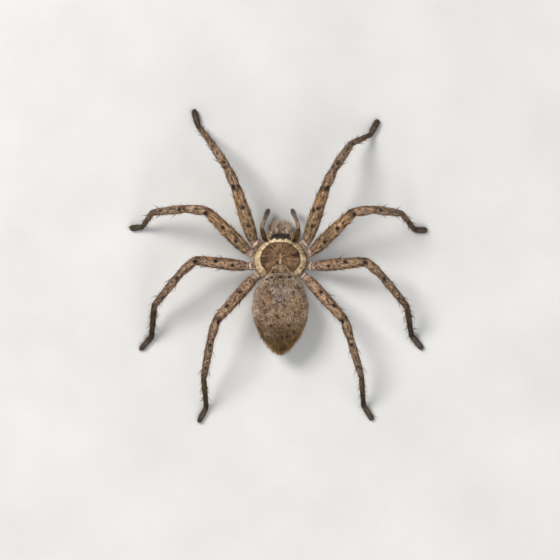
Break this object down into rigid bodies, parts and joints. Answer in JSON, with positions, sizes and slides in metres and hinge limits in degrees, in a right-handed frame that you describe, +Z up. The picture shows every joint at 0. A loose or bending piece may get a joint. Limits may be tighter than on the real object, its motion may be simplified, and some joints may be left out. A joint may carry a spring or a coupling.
{
  "type": "huntsman spider model",
  "caption": "Life-size still model of a brown huntsman spider standing flat with its legs spread to the sides.",
  "frame": {"origin": "on the floor, under the middle of the box round the whole spread of the legs", "axes": "+Z up, the head towards -Y, the spider's left side towards +X"},
  "size_m": [0.0694, 0.0728, 0.0147],
  "materials": {
    "carapace": "fine short hair, matt, cream band round a brown disc",
    "abdomen": "short velvety hair, mottled tan and brown",
    "leg": "short hair, tan-brown with dark spine spots",
    "foot": "dense dark brush of hair",
    "jaw": "dark brown shell under greyish hair",
    "fang": "polished, nearly black",
    "eye": "polished black"
  },
  "bodies": {
    "root": {"cephalothorax": "carapace", "mouthparts": "jaw", "abdomen": "abdomen", "spinnerets": "abdomen", "eye_anterior_median_left": "eye", "eye_anterior_median_right": "eye", "eye_anterior_lateral_left": "eye", "eye_anterior_lateral_right": "eye", "eye_posterior_median_left": "eye", "eye_posterior_median_right": "eye", "eye_posterior_lateral_left": "eye", "eye_posterior_lateral_right": "eye", "chelicera_left": "jaw", "fang_left": "fang", "palp_left_base": "leg", "palp_left_end": "leg", "leg1_left_coxa": "leg", "leg1_left_femur": "leg", "leg1_left_tibia": "leg", "leg1_left_metatarsus": "leg", "leg1_left_tarsus": "foot", "leg2_left_coxa": "leg", "leg2_left_femur": "leg", "leg2_left_tibia": "leg", "leg2_left_metatarsus": "leg", "leg2_left_tarsus": "foot", "leg3_left_coxa": "leg", "leg3_left_femur": "leg", "leg3_left_tibia": "leg", "leg3_left_metatarsus": "leg", "leg3_left_tarsus": "foot", "leg4_left_coxa": "leg", "leg4_left_femur": "leg", "leg4_left_tibia": "leg", "leg4_left_metatarsus": "leg", "leg4_left_tarsus": "foot", "chelicera_right": "jaw", "fang_right": "fang", "palp_right_base": "leg", "palp_right_end": "leg", "leg1_right_coxa": "leg", "leg1_right_femur": "leg", "leg1_right_tibia": "leg", "leg1_right_metatarsus": "leg", "leg1_right_tarsus": "foot", "leg2_right_coxa": "leg", "leg2_right_femur": "leg", "leg2_right_tibia": "leg", "leg2_right_metatarsus": "leg", "leg2_right_tarsus": "foot", "leg3_right_coxa": "leg", "leg3_right_femur": "leg", "leg3_right_tibia": "leg", "leg3_right_metatarsus": "leg", "leg3_right_tarsus": "foot", "leg4_right_coxa": "leg", "leg4_right_femur": "leg", "leg4_right_tibia": "leg", "leg4_right_metatarsus": "leg", "leg4_right_tarsus": "foot"}
  },
  "joints": []
}
